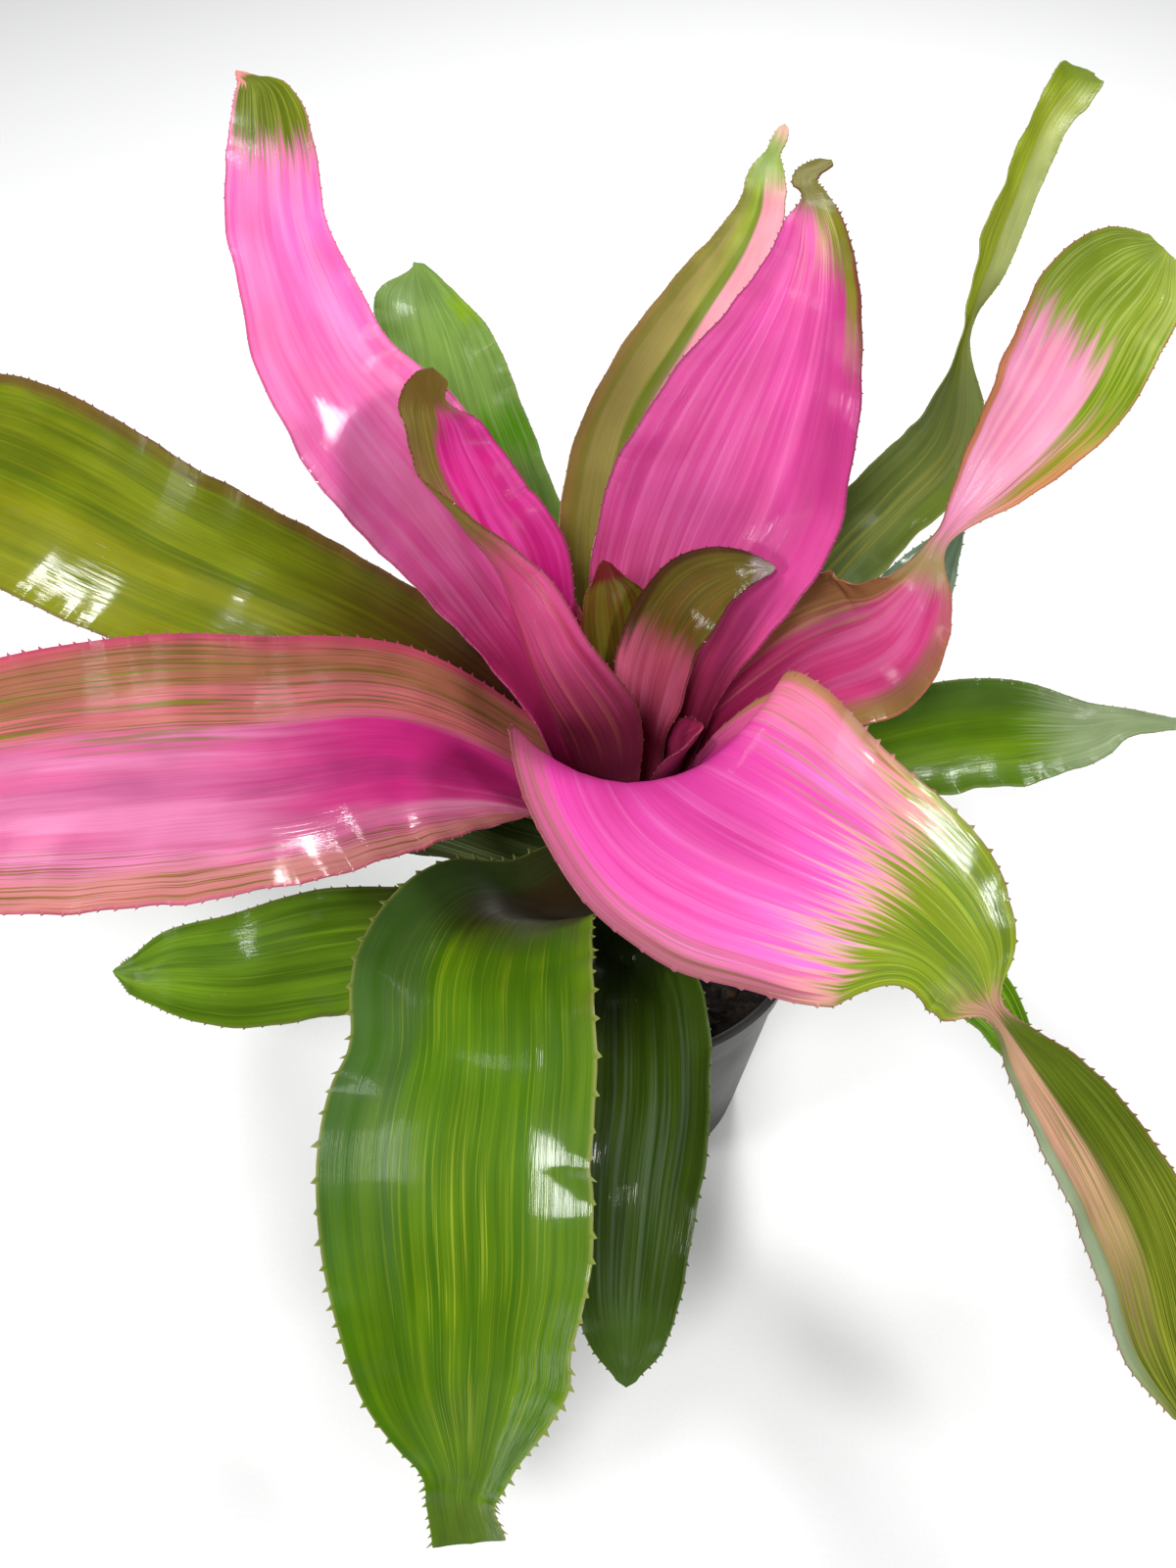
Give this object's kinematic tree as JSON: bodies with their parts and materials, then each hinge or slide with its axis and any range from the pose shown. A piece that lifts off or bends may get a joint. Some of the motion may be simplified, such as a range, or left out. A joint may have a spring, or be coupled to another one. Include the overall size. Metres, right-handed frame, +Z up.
{
  "type": "potted bromeliad",
  "caption": "Rosette of arching, channelled strap leaves with spiny margins on a short stem, rooted in potting mix in a tapered round nursery pot that stands on a flat foot.",
  "frame": {"origin": "centre of the pot's flat underside", "axes": "+Z up along the pot's axis; +X to the right and +Y away from the picture's viewer; -Z points out of the face that the pot rests on"},
  "size_m": [0.513, 0.4352, 0.3424],
  "materials": {
    "pot_plastic": "satin",
    "potting_mix": "matte",
    "stem_skin": "matte",
    "pink_leaf": "satin",
    "green_leaf": "satin",
    "olive_leaf": "satin"
  },
  "bodies": {
    "root": {"pot": "pot_plastic", "soil": "potting_mix", "stem": "stem_skin", "leaf_heart_right": "pink_leaf", "leaf_heart_small": "olive_leaf", "leaf_heart_left": "pink_leaf", "leaf_cup_front": "pink_leaf", "leaf_front_right_long": "pink_leaf", "leaf_back_right_broad": "pink_leaf", "leaf_right_twisted": "pink_leaf", "leaf_back_left_long": "pink_leaf", "leaf_left_pink": "pink_leaf", "leaf_back_striped": "green_leaf", "leaf_left_green": "green_leaf", "leaf_right_back_twisted": "green_leaf", "leaf_back_green": "green_leaf", "leaf_front_broad": "green_leaf", "leaf_right_dull": "green_leaf", "leaf_right_low": "green_leaf", "leaf_front_low": "green_leaf", "leaf_left_hidden": "green_leaf", "leaf_left_low": "green_leaf", "leaf_front_right_low": "green_leaf", "leaf_back_low_right": "green_leaf", "leaf_back_low_left": "green_leaf"}
  },
  "joints": []
}
